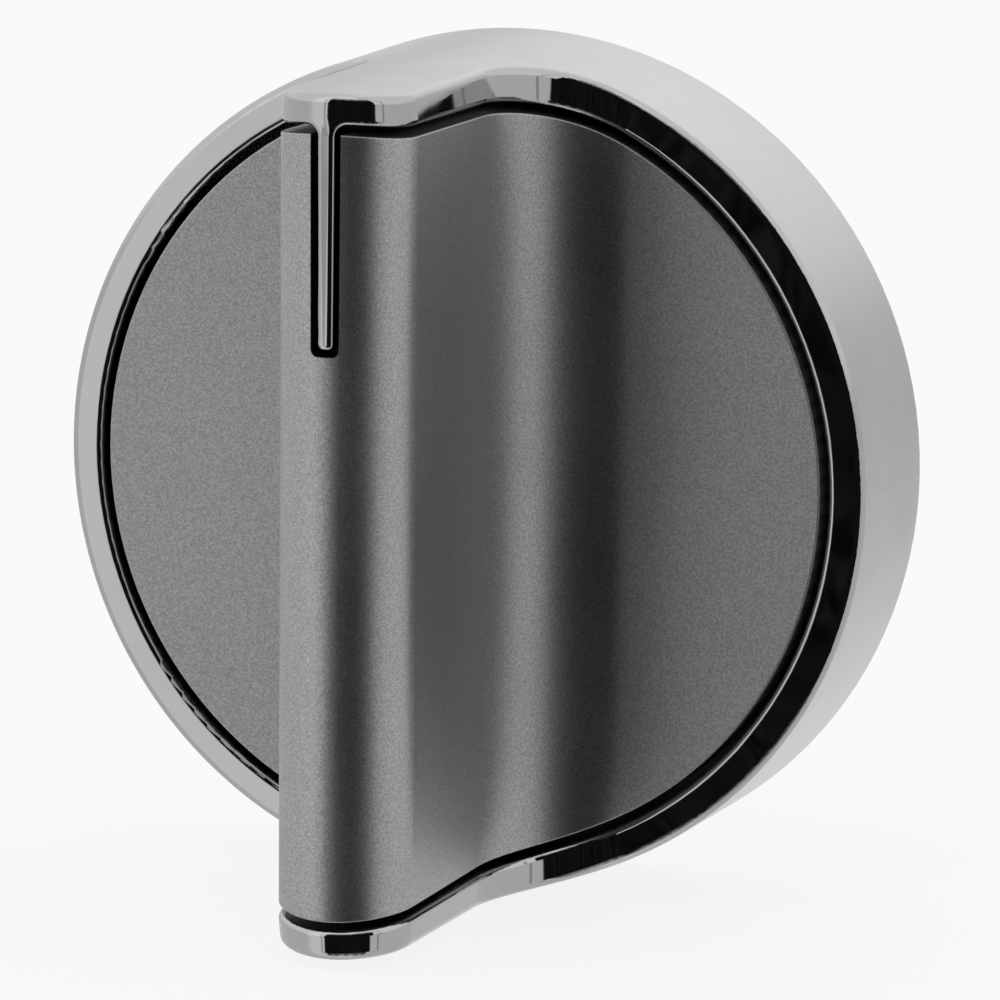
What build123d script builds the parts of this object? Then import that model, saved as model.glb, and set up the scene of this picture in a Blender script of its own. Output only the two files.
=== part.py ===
from build123d import *
from math import hypot, radians, tan
import os

# A stove knob: a plated bezel, a painted grip cover and a core that turns a D-shaped valve stem.
# It is drawn with its axis along Z and its grip bar along Y, and turned at the end to face -Y,
# with the pointer up. The origin is on the axis, in the plane of the back rim. Millimetres.

# Outer form
rim_radius = 28.0            # bezel at its back rim
wall_draft = 1.0             # degrees that the outer wall leans in towards the front
face_height = 12.0           # flat face above the back rim
bar_rise = 22.9              # crest of the grip bar above the flat face
bar_width = 8.8              # grip bar across its straight walls, with a full-round crest
bar_blend = 7.0              # concave blend between bar wall and flat face

# Bezel
band_width = 2.35            # front band round the flat face, from the outer wall in to the opening
lip_width = 0.45             # level part of the band, beside the opening
bevel_angle = 5.0            # degrees that the rest of the band slopes outwards
band_edge_radius = 0.6       # where the slope meets the outer wall
lip_radius = 0.4             # where the band and the rib turn into the opening
rim_edge_radius = 0.3        # outer edge of the back rim
skirt_wall = 1.7             # wall at the back rim
seat_depth = 3.6             # ledge behind the face on which the cover seats
lug_count = 4                # wedges inside the skirt that keep the core in
lug_width = 6.0
lug_depth = 0.6              # how far a wedge stands into the skirt
lug_height = 1.4

# Pointer rib and its slot
rib_width = 1.26             # where it leaves the band
rib_tip_width = 1.13
rib_depth = 1.5
rib_reach = 14.05            # from the opening's edge down the crest
rib_root_radius = 0.7        # where the rib flares into the band
rib_end_radius = 0.44
slot_end_radius = 0.5
slot_gap = 0.38              # clear space all round the rib

# Grip cover
cover_gap = 0.55             # shadow gap between bezel and cover
cover_wall = 1.8
cover_edge_radius = 0.12
flange_thickness = 1.4
slip = 0.1                   # flanges inside the skirt

# Core
core_clearance = 0.15        # core inside the cover
core_wall = 1.5
core_flange_thickness = 1.5
web_angles = (0, 45, 135, 180, 225, 315)
web_thickness = 1.4
web_edge_radius = 0.4        # along the webs' free edges
spine_slot_width = 2.4       # slots moulded into the spine from behind
spine_slot_end_wall = 2.6
spine_slot_hub_wall = 1.8
spine_crest_wall = 3.0

# Stem socket
stem_diameter = 8.0
stem_across_flat = 6.5
stem_clearance = 0.1
hub_wall = 2.1
hub_end_chamfer = 0.4
socket_depth = 12.5
lead_in_clearance = 0.4      # round mouth ahead of the D section
lead_in_length = 3.0

# Steel pieces of the hub
ring_thickness = 0.7
ring_width = 3.0
ring_setback = 1.0           # from the hub's end
ring_clearance = 0.03
ring_web_gap = 0.5           # between the ring and the webs in front of it
ring_split = 1.0             # between the ends of the rolled ring
leaf_thickness = 0.5
leaf_width = 5.0
leaf_length = 9.5
leaf_bow = 0.9
leaf_side_clearance = 0.1
leaf_end_clearance = 0.3
leaf_pocket_depth = 1.2      # behind the socket's flat

edge_tolerance = 0.01        # when an edge counts as lying on a wall


def wall_radius(height):
    """Radius of the leaning outer wall at a height above the back rim."""
    return rim_radius - height * tan(radians(wall_draft))


# Sizes that follow from the ones above
crest_height = face_height + bar_rise
crown_height = crest_height - bar_width / 2
rib_back = crest_height - rib_depth
opening_radius = wall_radius(face_height) - band_width
cover_radius = opening_radius - cover_gap
cover_hollow_radius = cover_radius - cover_wall
core_radius = cover_hollow_radius - core_clearance
recess_radius = core_radius - core_wall
skirt_inner_radius = rim_radius - skirt_wall
flange_radius = skirt_inner_radius - slip
seat_height = face_height - seat_depth
cover_back = seat_height - flange_thickness
core_back = cover_back - core_flange_thickness
plate_front = face_height - cover_wall - core_clearance
plate_back = plate_front - core_wall
stem_radius = stem_diameter / 2
socket_radius = stem_radius + stem_clearance
socket_flat = stem_across_flat - stem_radius + stem_clearance
hub_radius = socket_radius + hub_wall
ring_front = ring_setback + ring_width
web_back = ring_front + ring_web_gap
pocket_floor = socket_flat + leaf_pocket_depth
pocket_front = lead_in_length + leaf_length + 2 * leaf_end_clearance
leaf_back = lead_in_length + leaf_end_clearance
clear_front = crest_height + bar_width


def drum(radius, back, front):
    """Cylinder about the axis between two heights."""
    return Pos(Z=back) * Cylinder(radius, front - back, align=(Align.CENTER, Align.CENTER, Align.MIN))


def block(x_size, y_low, y_high, z_low, z_high):
    """Box centred on X between the given Y and Z limits."""
    corner = Pos(0, y_low, z_low)
    return corner * Box(x_size, y_high - y_low, z_high - z_low, align=(Align.CENTER, Align.MIN, Align.MIN))


def bar_form(inset):
    """The knob's front form, flat face and grip bar, moved inwards by inset and endless across."""
    half_width = bar_width / 2
    reach = 2 * rim_radius
    blend_x = half_width + bar_blend
    blend_z = face_height + bar_blend
    level = face_height - inset
    wall_x = half_width - inset
    blend_radius = bar_blend + inset
    lowered = blend_z - blend_radius * 0.5 ** 0.5
    drawn_in = blend_x - blend_radius * 0.5 ** 0.5
    right_blend = ThreePointArc((blend_x, level), (drawn_in, lowered), (wall_x, blend_z))
    left_blend = ThreePointArc((-wall_x, blend_z), (-drawn_in, lowered), (-blend_x, level))
    crown = ThreePointArc((wall_x, crown_height), (0, crown_height + wall_x), (-wall_x, crown_height))
    outline = [
        Line((reach, 0), (reach, level)),
        Line((reach, level), (blend_x, level)),
        right_blend,
        Line((wall_x, blend_z), (wall_x, crown_height)),
        crown,
        Line((-wall_x, crown_height), (-wall_x, blend_z)),
        left_blend,
        Line((-blend_x, level), (-reach, level)),
        Line((-reach, level), (-reach, 0)),
        Line((-reach, 0), (reach, 0)),
    ]
    section = Plane.XZ * make_face(Curve() + outline)
    return extrude(section, amount=reach, both=True)


def front_edges(solid, radius_at):
    """Edges ahead of the seat that lie on a round wall, given its radius as a function of height."""
    edges = ShapeList()
    for edge in solid.edges():
        points = [edge @ share for share in (0, 0.5, 1)]
        on_wall = all(abs(hypot(p.X, p.Y) - radius_at(p.Z)) < edge_tolerance for p in points)
        if on_wall and min(p.Z for p in points) > seat_height:
            edges.append(edge)
    return edges


def on_front(point):
    """Whether a point near the crest lies on its surface; points beside the bar always count."""
    half_width = bar_width / 2
    if abs(point.X) > half_width - edge_tolerance:
        return True
    return point.Z > crown_height + (half_width**2 - point.X**2) ** 0.5 - edge_tolerance


def opening_edges(solid):
    """Front edges round the opening and the pointer rib."""
    edges = ShapeList()
    for edge in solid.edges():
        points = [edge @ share for share in (0, 0.5, 1)]
        inside = all(hypot(p.X, p.Y) < opening_radius + edge_tolerance for p in points)
        ahead = min(p.Z for p in points) > seat_height
        if inside and ahead and all(on_front(p) for p in points):
            edges.append(edge)
    return edges


def rib_strip(grow, end_radius):
    """Plan of the pointer rib, or of its slot when grown by the gap."""
    low = opening_radius - rib_reach - grow
    high = opening_radius + band_width / 2
    tip = rib_tip_width / 2 + grow
    root = rib_width / 2 + grow
    strip = make_face(Polyline((-tip, low), (tip, low), (root, high), (-root, high), close=True))
    end_corners = strip.vertices().sort_by(Axis.Y)[:2]
    return fillet(end_corners, end_radius)


def opening_plan():
    """Plan of the opening beside the pointer rib, rounded where the rib leaves the band."""
    plan = Circle(opening_radius) - rib_strip(0, rib_end_radius)
    corners = plan.vertices().filter_by(
        lambda v: v.Y > 0 and abs(v.X) < rib_width and abs(hypot(v.X, v.Y) - opening_radius) < edge_tolerance
    )
    return fillet(corners, rib_root_radius)


def make_lugs():
    """Wedges round the inside of the skirt, with their flat fronts against the core's flange."""
    buried = skirt_inner_radius + skirt_wall / 2
    tip = skirt_inner_radius - lug_depth
    outline = Polyline(
        (buried, core_back),
        (tip, core_back),
        (skirt_inner_radius, core_back - lug_height),
        (buried, core_back - lug_height),
        close=True,
    )
    ring = revolve(Plane.XZ * make_face(outline), Axis.Z)
    lugs = Part()
    for index in range(lug_count):
        turn = Rot(Z=360 / lug_count * (index + 0.5))
        lugs += ring & (turn * block(lug_width, 0, rim_radius, 0, face_height))
    return lugs


def make_bezel():
    """Plated bezel: skirt, front band that climbs over the bar's ends, and pointer rib."""
    bevel_width = rim_radius - opening_radius - lip_width
    bevel_drop = bevel_width * tan(radians(bevel_angle))
    blank = bar_form(0) & drum(rim_radius, 0, clear_front)
    wall = blank.faces().filter_by(GeomType.CYLINDER).sort_by(SortBy.AREA)[-1]
    blank = chamfer(front_edges(blank, lambda z: rim_radius), bevel_drop, bevel_width, reference=wall)
    from_back = (Align.CENTER, Align.CENTER, Align.MIN)
    body = blank & Cone(rim_radius, wall_radius(clear_front), clear_front, align=from_back)
    body = fillet(front_edges(body, wall_radius), band_edge_radius)
    body = fillet(body.edges().group_by(Axis.Z)[0], rim_edge_radius)
    body -= drum(opening_radius, seat_height, rib_back)
    body -= Pos(Z=rib_back) * extrude(opening_plan(), amount=clear_front - rib_back)
    body = fillet(opening_edges(body), lip_radius)
    body -= drum(skirt_inner_radius, 0, seat_height)
    return body + make_lugs()


def make_cover():
    """Painted shell of the flat face and grip bar, with a seating flange and the rib's slot."""
    body = bar_form(0) & drum(cover_radius, cover_back, clear_front)
    body = fillet(front_edges(body, lambda z: cover_radius), cover_edge_radius)
    body += drum(flange_radius, cover_back, seat_height)
    body -= bar_form(cover_wall) & drum(cover_hollow_radius, cover_back, clear_front)
    slot = extrude(rib_strip(slot_gap, slot_end_radius), amount=crest_height)
    return body - Pos(Z=crown_height) * slot


def make_core():
    """Black core: flange, plate, hub, webs and the spine that fills the bar."""
    body = bar_form(cover_wall + core_clearance) & drum(core_radius, core_back, clear_front)
    body += drum(flange_radius, core_back, cover_back)
    body -= drum(recess_radius, 0, plate_back)
    hub = drum(hub_radius, 0, plate_front)
    body += chamfer(hub.edges().group_by(Axis.Z)[0], hub_end_chamfer)
    web_start = hub_radius - core_wall / 2
    web_end = recess_radius + core_wall / 2
    web = block(web_thickness, web_start, web_end, web_back, plate_front)
    web = fillet(web.edges().filter_by(Axis.Y).group_by(Axis.Z)[0], web_edge_radius)
    for angle in web_angles:
        body += Rot(Z=angle - 90) * web
    slot_front = crest_height - cover_wall - core_clearance - spine_crest_wall
    for turn in (0, 180):
        slot_start = hub_radius + spine_slot_hub_wall
        slot_end = core_radius - spine_slot_end_wall
        body -= Rot(Z=turn) * block(spine_slot_width, slot_start, slot_end, 0, slot_front)

    socket = Circle(socket_radius) & Pos(0, socket_radius) * Rectangle(
        2 * socket_radius, 2 * (socket_radius + socket_flat)
    )
    body -= extrude(socket, amount=socket_depth)
    body -= drum(stem_radius + lead_in_clearance, 0, lead_in_length)
    pocket_width = leaf_width + 2 * leaf_side_clearance
    return body - block(pocket_width, -pocket_floor, 0, lead_in_length, pocket_front)


def make_ring():
    """Rolled steel ring round the free end of the hub, split above the socket."""
    inner = hub_radius + ring_clearance
    outer = inner + ring_thickness
    ring = drum(outer, ring_setback, ring_front) - drum(inner, ring_setback, ring_front)
    return ring - block(ring_split, 0, 2 * outer, ring_setback, ring_front)


def make_leaf():
    """Bowed steel leaf that lies in the pocket and presses on the stem's flat."""
    back = -pocket_floor
    front = back + leaf_thickness
    top = leaf_back + leaf_length
    middle = leaf_back + leaf_length / 2
    outline = [
        ThreePointArc((back, leaf_back), (back + leaf_bow, middle), (back, top)),
        Line((back, top), (front, top)),
        ThreePointArc((front, top), (front + leaf_bow, middle), (front, leaf_back)),
        Line((front, leaf_back), (back, leaf_back)),
    ]
    section = Plane.YZ * make_face(Curve() + outline)
    return extrude(section, amount=leaf_width / 2, both=True)


pieces = {
    "chrome_bezel": make_bezel(),
    "grip_cover": make_cover(),
    "hub_core": make_core(),
    "hub_ring": make_ring(),
    "stem_spring": make_leaf(),
}

# Turned so that the knob faces -Y with its pointer up
os.makedirs("parts", exist_ok=True)
for name, piece in pieces.items():
    export_step(Rot(X=90) * piece, f"parts/{name}.step")
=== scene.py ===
"""Dresses the stove knob in its plated, painted, moulded and rolled-steel finishes, in a light tent."""

import logging
import math
from dataclasses import dataclass, field
from enum import Enum
from typing import Any

import bpy
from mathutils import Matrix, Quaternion, Vector


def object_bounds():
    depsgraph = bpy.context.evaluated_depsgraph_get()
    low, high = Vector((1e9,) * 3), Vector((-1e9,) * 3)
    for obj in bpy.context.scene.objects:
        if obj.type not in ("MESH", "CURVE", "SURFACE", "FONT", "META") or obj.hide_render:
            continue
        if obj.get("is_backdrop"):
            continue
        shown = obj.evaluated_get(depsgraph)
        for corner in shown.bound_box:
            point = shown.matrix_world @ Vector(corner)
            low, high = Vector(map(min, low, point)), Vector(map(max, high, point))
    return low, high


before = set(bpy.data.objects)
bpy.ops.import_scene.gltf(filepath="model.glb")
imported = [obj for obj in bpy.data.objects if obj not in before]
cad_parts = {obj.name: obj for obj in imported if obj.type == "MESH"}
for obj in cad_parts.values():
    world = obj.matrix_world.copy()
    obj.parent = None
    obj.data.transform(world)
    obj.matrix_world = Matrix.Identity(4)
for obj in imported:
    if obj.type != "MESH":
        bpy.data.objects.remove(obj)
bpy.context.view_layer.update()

log = logging.getLogger("stove_knob")

MILLIMETRE = 0.001
IMAGE_PIXELS = 1000
DEGREES_PER_RADIAN = 180.0 / math.pi
OPAQUE = 1.0

Socket = bpy.types.NodeSocket
Colour = tuple[float, float, float]
Factors = tuple[float, float, float]
Pair = tuple[float, float]
Span = tuple[float, float]

# Most values of a noise lie in this span.
NOISE_SPAN: Span = (0.3, 0.7)
WHITE: Colour = (1.0, 1.0, 1.0)


class Node(Enum):
    """The knob's pieces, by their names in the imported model."""

    BEZEL = "chrome_bezel"
    COVER = "grip_cover"
    CORE = "hub_core"
    RING = "hub_ring"
    LEAF = "stem_spring"


class Graph:
    """A node tree that is emptied and then filled by short calls."""

    def __init__(self, tree: bpy.types.NodeTree) -> None:
        """Take a tree and clear it.

        Args:
            tree: The node tree of a material or of the world.
        """
        self.tree = tree
        self.tree.nodes.clear()

    def node(self, kind: str, **settings: Any) -> bpy.types.Node:
        """Add a node.

        Args:
            kind: The node's type name.
            settings: Attributes to set on it.

        Returns:
            The new node.
        """
        made = self.tree.nodes.new(kind)
        for name, value in settings.items():
            setattr(made, name, value)
        return made

    def feed(self, target: Socket, value: Any) -> None:
        """Put a constant or another node's output into a socket.

        Args:
            target: The input socket.
            value: A number, a colour, a vector or an output socket.
        """
        if isinstance(value, Socket):
            self.tree.links.new(value, target)
        else:
            target.default_value = value

    def math(self, operation: str, *values: Any) -> Socket:
        """Add a Math node.

        Args:
            operation: The operation's name.
            values: Its inputs, in order.

        Returns:
            The result socket.
        """
        made = self.node("ShaderNodeMath", operation=operation)
        for target, value in zip(made.inputs, values):
            self.feed(target, value)
        return made.outputs[0]

    def chain(self, operation: str, first: Socket, *others: Any) -> Socket:
        """Join several values by one operation.

        Args:
            operation: The operation's name.
            first: The first value.
            others: The values joined to it in turn.

        Returns:
            The result socket.
        """
        result = first
        for other in others:
            result = self.math(operation, result, other)
        return result

    def ramp(self, value: Socket, low: float, high: float, start: float = 0.0, end: float = 1.0) -> Socket:
        """Map a value smoothly from one span to another.

        Args:
            value: The value to map.
            low: Where the ramp begins.
            high: Where it ends.
            start: Result at low.
            end: Result at high.

        Returns:
            The mapped value's socket.
        """
        made = self.node("ShaderNodeMapRange", interpolation_type="SMOOTHSTEP")
        entries = {"Value": value, "From Min": low, "From Max": high, "To Min": start, "To Max": end}
        for name, entry in entries.items():
            self.feed(made.inputs[name], entry)
        return made.outputs["Result"]

    def mix(self, factor: Socket, first: Any, second: Any) -> Socket:
        """Mix two colours.

        Args:
            factor: Share of the second colour.
            first: Colour or output socket at 0.
            second: Colour or output socket at 1.

        Returns:
            The mixed colour's socket.
        """
        made = self.node("ShaderNodeMix", data_type="RGBA")
        self.feed(made.inputs["Factor"], factor)
        for place, entry in (("A", first), ("B", second)):
            target = next(s for s in made.inputs if s.name == place and s.type == "RGBA")
            self.feed(target, entry if isinstance(entry, Socket) else (*entry, OPAQUE))
        return next(s for s in made.outputs if s.type == "RGBA")

    def place(self, stretch: Factors = (1.0, 1.0, 1.0), kind: str = "Object") -> Socket:
        """Coordinates, stretched.

        Args:
            stretch: Factor on each axis.
            kind: The coordinates' name.

        Returns:
            The coordinate socket.
        """
        source = self.node("ShaderNodeTexCoord")
        mapping = self.node("ShaderNodeMapping")
        mapping.inputs["Scale"].default_value = stretch
        self.feed(mapping.inputs["Vector"], source.outputs[kind])
        return mapping.outputs["Vector"]

    def noise(self, where: Socket, grain: float, detail: float = 2.0) -> Socket:
        """Noise with a grain size.

        Args:
            where: Coordinate socket.
            grain: Size of one grain, in the coordinates' unit.
            detail: Octaves of finer noise.

        Returns:
            The factor socket, from 0 to 1.
        """
        made = self.node("ShaderNodeTexNoise")
        made.inputs["Scale"].default_value = 1.0 / grain
        made.inputs["Detail"].default_value = detail
        self.feed(made.inputs["Vector"], where)
        return made.outputs["Fac"]

    def bump(self, height: Socket, depth: float) -> Socket:
        """Bump from a height between 0 and 1.

        Args:
            height: Height socket.
            depth: Depth of the relief in metres.

        Returns:
            The normal socket.
        """
        made = self.node("ShaderNodeBump")
        made.inputs["Strength"].default_value = 1.0
        made.inputs["Distance"].default_value = depth
        self.feed(made.inputs["Height"], height)
        return made.outputs["Normal"]


@dataclass(frozen=True)
class Finish:
    """A surface finish that is made once and laid on a node."""

    name: str
    colour: Colour

    def material(self) -> bpy.types.Material:
        """Make the finish's material.

        Returns:
            The new material.
        """
        made = bpy.data.materials.new(self.name)
        made.use_nodes = True
        graph = Graph(made.node_tree)
        shader = graph.node("ShaderNodeBsdfPrincipled")
        output = graph.node("ShaderNodeOutputMaterial")
        graph.feed(output.inputs["Surface"], shader.outputs["BSDF"])
        for name, value in self.sockets(graph).items():
            graph.feed(shader.inputs[name], value)
        return made

    def sockets(self, graph: Graph) -> dict[str, Any]:
        """Values for the shader's sockets.

        Args:
            graph: The tree that the finish adds its nodes to.

        Returns:
            Socket names with constants or output sockets.
        """
        raise NotImplementedError

    def shade(self, share: float) -> Colour:
        """The finish's colour, lighter or darker.

        Args:
            share: Factor on the colour.

        Returns:
            The new colour.
        """
        return tuple(min(1.0, part * share) for part in self.colour)


@dataclass(frozen=True)
class BrightPlating(Finish):
    """Mirror plating over a moulding, with faint waves and a thin haze of handling marks."""

    clean_roughness: float = 0.03
    hazy_roughness: float = 0.08
    haze_grain: float = 9 * MILLIMETRE
    haze_detail: float = 5.0
    haze_span: Span = (0.45, 0.72)
    haze_shade: float = 0.94
    wave_grain: float = 6 * MILLIMETRE
    wave_detail: float = 1.0
    wave_depth: float = 0.05 * MILLIMETRE

    def sockets(self, graph: Graph) -> dict[str, Any]:
        """Values for the shader's sockets.

        Args:
            graph: The tree that the finish adds its nodes to.

        Returns:
            Socket names with constants or output sockets.
        """
        where = graph.place()
        marks = graph.noise(where, self.haze_grain, self.haze_detail)
        haze = graph.ramp(marks, *self.haze_span)
        waves = graph.noise(where, self.wave_grain, self.wave_detail)
        return {
            "Base Color": graph.mix(haze, self.colour, self.shade(self.haze_shade)),
            "Metallic": 1.0,
            "Roughness": graph.ramp(haze, 0.0, 1.0, self.clean_roughness, self.hazy_roughness),
            "Normal": graph.bump(waves, self.wave_depth),
        }


@dataclass(frozen=True)
class FlakePaint(Finish):
    """Satin metallic paint with a fine flake; the cover's side walls and the rib's slot get a near-black
    painted shade for the gap round them.
    """

    # Near-black colour painted on the walls in the gap and the slot as painted shade.
    gap_shade: Colour = (0.004, 0.004, 0.004)
    roughness: float = 0.42
    roughness_drift: float = 0.015
    metallic: float = 1.0
    flake_grain: float = 0.13 * MILLIMETRE
    flake_depth: float = 0.004 * MILLIMETRE
    flake_contrast: Span = (0.79, 1.21)
    cloud_grain: float = 11 * MILLIMETRE
    cloud_detail: float = 3.0
    painted_radius: float = 24.85 * MILLIMETRE
    slot_half_width: float = 1.06 * MILLIMETRE
    slot_low: float = 10.4 * MILLIMETRE
    slot_painted_height: float = 34.72 * MILLIMETRE
    fade: float = 0.05 * MILLIMETRE

    def sockets(self, graph: Graph) -> dict[str, Any]:
        """Values for the shader's sockets.

        Args:
            graph: The tree that the finish adds its nodes to.

        Returns:
            Socket names with constants or output sockets.
        """
        where = graph.place()
        flake = graph.noise(where, self.flake_grain)
        cloud = graph.noise(where, self.cloud_grain, self.cloud_detail)
        dark, light = self.flake_contrast
        speckle = graph.mix(graph.ramp(flake, *NOISE_SPAN), self.shade(dark), self.shade(light))
        # Painted shade: walls facing the gap and the slot turn near-black and lose their metal.
        gap_shade = self.painted_gap_shade_mask(graph, where)
        smoothest = self.roughness - self.roughness_drift
        roughest = self.roughness + self.roughness_drift
        return {
            "Base Color": graph.mix(gap_shade, speckle, self.gap_shade),
            "Metallic": graph.ramp(gap_shade, 0.0, 1.0, self.metallic, 0.0),
            "Roughness": graph.ramp(cloud, *NOISE_SPAN, smoothest, roughest),
            "Normal": graph.bump(flake, self.flake_depth),
        }

    def painted_gap_shade_mask(self, graph: Graph, where: Socket) -> Socket:
        """Mask of the painted shade on the walls that face the shadow gap and the rib's slot.

        Args:
            graph: The tree that the mask is added to.
            where: Coordinate socket.

        Returns:
            Socket that is 1 on those walls.
        """
        split = graph.node("ShaderNodeSeparateXYZ")
        graph.feed(split.inputs[0], where)
        x, y, z = split.outputs
        squares = graph.math("ADD", graph.math("MULTIPLY", x, x), graph.math("MULTIPLY", z, z))
        radius = graph.math("SQRT", squares)
        rim = graph.ramp(radius, self.painted_radius, self.painted_radius + self.fade)
        aside = graph.math("ABSOLUTE", x)
        slot = graph.chain(
            "MULTIPLY",
            graph.ramp(aside, self.slot_half_width, self.slot_half_width + self.fade, 1.0, 0.0),
            graph.ramp(y, -self.slot_painted_height, self.fade - self.slot_painted_height),
            graph.ramp(z, self.slot_low, self.slot_low + self.fade),
        )
        return graph.math("MAXIMUM", rim, slot)


@dataclass(frozen=True)
class SparkedMoulding(Finish):
    """Black moulded plastic with a fine spark-eroded texture."""

    roughness: Span = (0.42, 0.58)
    grain: float = 0.35 * MILLIMETRE
    grain_detail: float = 3.0
    depth: float = 0.02 * MILLIMETRE
    cloud_grain: float = 6 * MILLIMETRE
    cloud_shades: Span = (0.8, 1.25)

    def sockets(self, graph: Graph) -> dict[str, Any]:
        """Values for the shader's sockets.

        Args:
            graph: The tree that the finish adds its nodes to.

        Returns:
            Socket names with constants or output sockets.
        """
        where = graph.place()
        texture = graph.noise(where, self.grain, self.grain_detail)
        cloud = graph.noise(where, self.cloud_grain)
        dark, light = self.cloud_shades
        return {
            "Base Color": graph.mix(cloud, self.shade(dark), self.shade(light)),
            "Roughness": graph.ramp(cloud, *NOISE_SPAN, *self.roughness),
            "Normal": graph.bump(texture, self.depth),
        }


@dataclass(frozen=True)
class RolledSteel(Finish):
    """Bright rolled strip with fine lines along its rolling direction."""

    stretch: Factors = (1.0, 1.0, 1.0)
    roughness: Span = (0.2, 0.36)
    line_grain: float = 0.12 * MILLIMETRE
    line_detail: float = 3.0
    line_shades: Span = (0.9, 1.08)
    line_depth: float = 0.003 * MILLIMETRE

    def sockets(self, graph: Graph) -> dict[str, Any]:
        """Values for the shader's sockets.

        Args:
            graph: The tree that the finish adds its nodes to.

        Returns:
            Socket names with constants or output sockets.
        """
        lines = graph.noise(graph.place(self.stretch), self.line_grain, self.line_detail)
        dark, light = self.line_shades
        return {
            "Base Color": graph.mix(lines, self.shade(dark), self.shade(light)),
            "Metallic": 1.0,
            "Roughness": graph.ramp(lines, *NOISE_SPAN, *self.roughness),
            "Normal": graph.bump(lines, self.line_depth),
        }


def plating() -> Finish:
    """The bezel's finish."""
    return BrightPlating("bright_plating", (0.555, 0.562, 0.57))


def paint() -> Finish:
    """The cover's finish."""
    return FlakePaint("metallic_grey_paint", (0.515, 0.511, 0.511))


def moulding() -> Finish:
    """The core's finish."""
    return SparkedMoulding("black_moulding", (0.014, 0.014, 0.015))


def ring_steel() -> Finish:
    """The ring's finish, rolled round the hub."""
    return RolledSteel("ring_steel", (0.56, 0.56, 0.57), stretch=(0.02, 1.0, 0.02))


def leaf_steel() -> Finish:
    """The leaf's finish, rolled along the stem."""
    return RolledSteel("leaf_steel", (0.6, 0.6, 0.61), stretch=(1.0, 0.02, 0.02))


@dataclass
class Knob:
    """The knob's nodes and the finish of each."""

    bezel: Finish = field(default_factory=plating)
    cover: Finish = field(default_factory=paint)
    core: Finish = field(default_factory=moulding)
    ring: Finish = field(default_factory=ring_steel)
    leaf: Finish = field(default_factory=leaf_steel)

    def dress(self) -> None:
        """Lay each finish on its node."""
        finishes = {
            Node.BEZEL: self.bezel,
            Node.COVER: self.cover,
            Node.CORE: self.core,
            Node.RING: self.ring,
            Node.LEAF: self.leaf,
        }
        for node, finish in finishes.items():
            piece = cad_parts[node.value]
            material = finish.material()
            for slot in piece.material_slots:
                slot.material = material
            log.info("%s: %s", node.value, finish.name)


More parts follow.
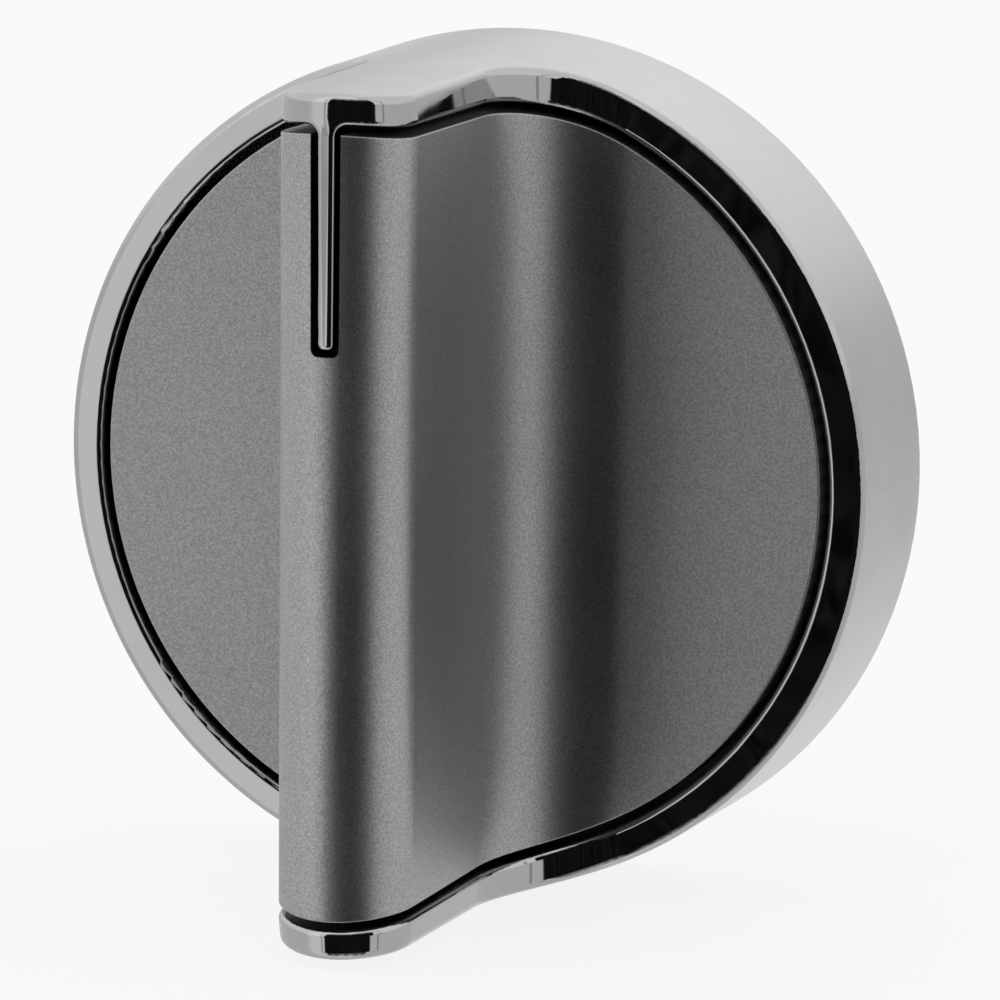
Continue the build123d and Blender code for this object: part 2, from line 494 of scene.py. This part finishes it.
@dataclass
class Tent:
    """Light tent round the knob: white, brighter above and behind, with a dark opening towards the viewer.

    Angles are in degrees. Azimuth runs from the knob's front towards its right, elevation upwards.
    The roof's rise is the upward part of a direction, from 0 when level to 1 when straight up.
    """

    front_level: float = 0.82
    side_level: float = 0.62
    side_turn: Span = (40.0, 55.0)
    back_gain: float = 0.16
    back_turn: Span = (155.0, 178.0)
    roof_gain: float = 0.24
    roof_rise: Span = (0.05, 0.3)
    dark_level: Span = (0.003, 0.014)
    streak_stretch: Factors = (150.0, 150.0, 25.0)
    streak_grain: float = 1.0
    streak_span: Span = (0.35, 0.7)
    left_edge: Span = (-20.0, -17.0)
    right_edge: Span = (60.5, 63.5)
    low_edge: Span = (-78.0, -34.0)
    high_edge: Span = (34.0, 74.0)
    seams: Pair = (-23.2, 76.0)
    seam_width: Span = (0.8, 2.2)
    seam_depth: float = 0.45

    def build(self) -> None:
        """Make the world."""
        world = bpy.data.worlds.new("light_tent")
        bpy.context.scene.world = world
        world.use_nodes = True
        graph = Graph(world.node_tree)
        path = graph.node("ShaderNodeLightPath")
        tent = graph.node("ShaderNodeBackground")
        graph.feed(tent.inputs["Strength"], self.brightness(graph))
        white = graph.node("ShaderNodeBackground")
        for background in (tent, white):
            background.inputs["Color"].default_value = (*WHITE, OPAQUE)
        mix = graph.node("ShaderNodeMixShader")
        graph.feed(mix.inputs["Fac"], path.outputs["Is Camera Ray"])
        graph.feed(mix.inputs[1], tent.outputs["Background"])
        graph.feed(mix.inputs[2], white.outputs["Background"])
        output = graph.node("ShaderNodeOutputWorld")
        graph.feed(output.inputs["Surface"], mix.outputs[0])
        log.info("light tent")

    def brightness(self, graph: Graph) -> Socket:
        """Brightness of the tent in each direction.

        Args:
            graph: The world's tree.

        Returns:
            The brightness socket.
        """
        way = graph.node("ShaderNodeTexCoord")
        split = graph.node("ShaderNodeSeparateXYZ")
        graph.feed(split.inputs[0], way.outputs["Generated"])
        x, y, z = split.outputs
        front = graph.math("MULTIPLY", y, -1.0)
        azimuth = graph.math("MULTIPLY", graph.math("ARCTAN2", x, front), DEGREES_PER_RADIAN)
        elevation = graph.math("MULTIPLY", graph.math("ARCSINE", z), DEGREES_PER_RADIAN)
        aside = graph.math("ABSOLUTE", azimuth)
        cloth = graph.chain(
            "ADD",
            graph.ramp(aside, *self.side_turn, self.front_level, self.side_level),
            graph.ramp(aside, *self.back_turn, 0.0, self.back_gain),
            graph.ramp(z, *self.roof_rise, 0.0, self.roof_gain),
        )
        for seam in self.seams:
            offset = graph.math("ABSOLUTE", graph.math("SUBTRACT", azimuth, seam))
            stitched = graph.ramp(offset, *self.seam_width, 1.0 - self.seam_depth, 1.0)
            cloth = graph.math("MULTIPLY", cloth, stitched)
        closed = graph.math("SUBTRACT", 1.0, self.opening(graph, azimuth, elevation))
        streaks = graph.noise(graph.place(self.streak_stretch, "Generated"), self.streak_grain)
        dark = graph.ramp(streaks, *self.streak_span, *self.dark_level)
        return graph.math("MAXIMUM", graph.math("MULTIPLY", cloth, closed), dark)

    def opening(self, graph: Graph, azimuth: Socket, elevation: Socket) -> Socket:
        """Mask of the dark opening.

        Args:
            graph: The world's tree.
            azimuth: Direction's azimuth.
            elevation: Direction's elevation.

        Returns:
            Socket that is 1 in the opening.
        """
        return graph.chain(
            "MULTIPLY",
            graph.ramp(azimuth, *self.left_edge),
            graph.ramp(azimuth, *self.right_edge, 1.0, 0.0),
            graph.ramp(elevation, *self.low_edge),
            graph.ramp(elevation, *self.high_edge, 1.0, 0.0),
        )


@dataclass
class Floor:
    """Pale floor under the knob that keeps its shadow and stays out of the plating's reflections."""

    reach: float = 3.0
    colour: Colour = (0.9, 0.9, 0.9)
    glow_share: float = 0.85

    def build(self) -> None:
        """Make the floor."""
        low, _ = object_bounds()
        bpy.ops.mesh.primitive_plane_add(size=2 * self.reach, location=(0.0, 0.0, low[2]))
        floor = bpy.context.object
        floor.name = "studio_floor"
        floor.data.materials.append(self.paper())
        floor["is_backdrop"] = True
        log.info("floor")

    def paper(self) -> bpy.types.Material:
        """Make the floor's material.

        Returns:
            The new material.
        """
        paper = bpy.data.materials.new("pale_floor")
        paper.use_nodes = True
        graph = Graph(paper.node_tree)
        path = graph.node("ShaderNodeLightPath")
        matt = graph.node("ShaderNodeBsdfDiffuse")
        matt.inputs["Color"].default_value = (*self.colour, OPAQUE)
        glow = graph.node("ShaderNodeEmission")
        clear = graph.node("ShaderNodeBsdfTransparent")
        seen = graph.node("ShaderNodeMixShader")
        glowing = graph.math("MULTIPLY", path.outputs["Is Camera Ray"], self.glow_share)
        graph.feed(seen.inputs["Fac"], glowing)
        graph.feed(seen.inputs[1], matt.outputs[0])
        graph.feed(seen.inputs[2], glow.outputs[0])
        mirrored = graph.node("ShaderNodeMixShader")
        graph.feed(mirrored.inputs["Fac"], path.outputs["Is Glossy Ray"])
        graph.feed(mirrored.inputs[1], seen.outputs[0])
        graph.feed(mirrored.inputs[2], clear.outputs[0])
        output = graph.node("ShaderNodeOutputMaterial")
        graph.feed(output.inputs["Surface"], mirrored.outputs[0])
        return paper


@dataclass
class ViewCamera:
    """Camera at the photograph's viewing angle.

    The angles are in degrees. The scale and the place of the knob's origin are in pixels of the photograph.
    """

    azimuth: float = 20.577
    elevation: float = 10.059
    roll: float = 0.541
    rim_radius: float = 28.0 * MILLIMETRE
    distance_in_radii: float = 15.0
    pixels_per_radius: float = 416.86
    origin_pixel: Pair = (521.75, 443.15)
    sensor: float = 36.0

    def place(self) -> None:
        """Make the camera and give it to the scene."""
        turn = math.radians(self.azimuth)
        lift = math.radians(self.elevation)
        roll = math.radians(self.roll)
        back = Vector((math.sin(turn) * math.cos(lift), -math.cos(turn) * math.cos(lift), math.sin(lift)))
        right = Quaternion(back, roll) @ Vector((math.cos(turn), math.sin(turn), 0.0))
        up = back.cross(right)
        pixel = self.rim_radius / self.pixels_per_radius
        aside = (IMAGE_PIXELS / 2 - self.origin_pixel[0]) * pixel
        above = (self.origin_pixel[1] - IMAGE_PIXELS / 2) * pixel
        position = back * (self.distance_in_radii * self.rim_radius)
        aim = (right * aside + up * above - position).to_track_quat("-Z", "Y")
        data = bpy.data.cameras.new("view_camera")
        data.sensor_width = self.sensor
        data.lens = self.sensor * self.pixels_per_radius * self.distance_in_radii / IMAGE_PIXELS
        data.clip_start = MILLIMETRE
        camera = bpy.data.objects.new("view_camera", data)
        camera.location = position
        camera.rotation_mode = "QUATERNION"
        camera.rotation_quaternion = aim @ Quaternion((0.0, 0.0, 1.0), roll)
        bpy.context.scene.collection.objects.link(camera)
        bpy.context.scene.camera = camera


def main() -> None:
    """Dress the knob, light it and place the camera."""
    logging.basicConfig(level=logging.INFO, format="%(name)s: %(message)s")
    bpy.ops.object.select_all(action="DESELECT")
    Knob().dress()
    Floor().build()
    Tent().build()
    ViewCamera().place()
    bpy.context.scene.view_settings.view_transform = "Standard"


if __name__ == "__main__":
    main()
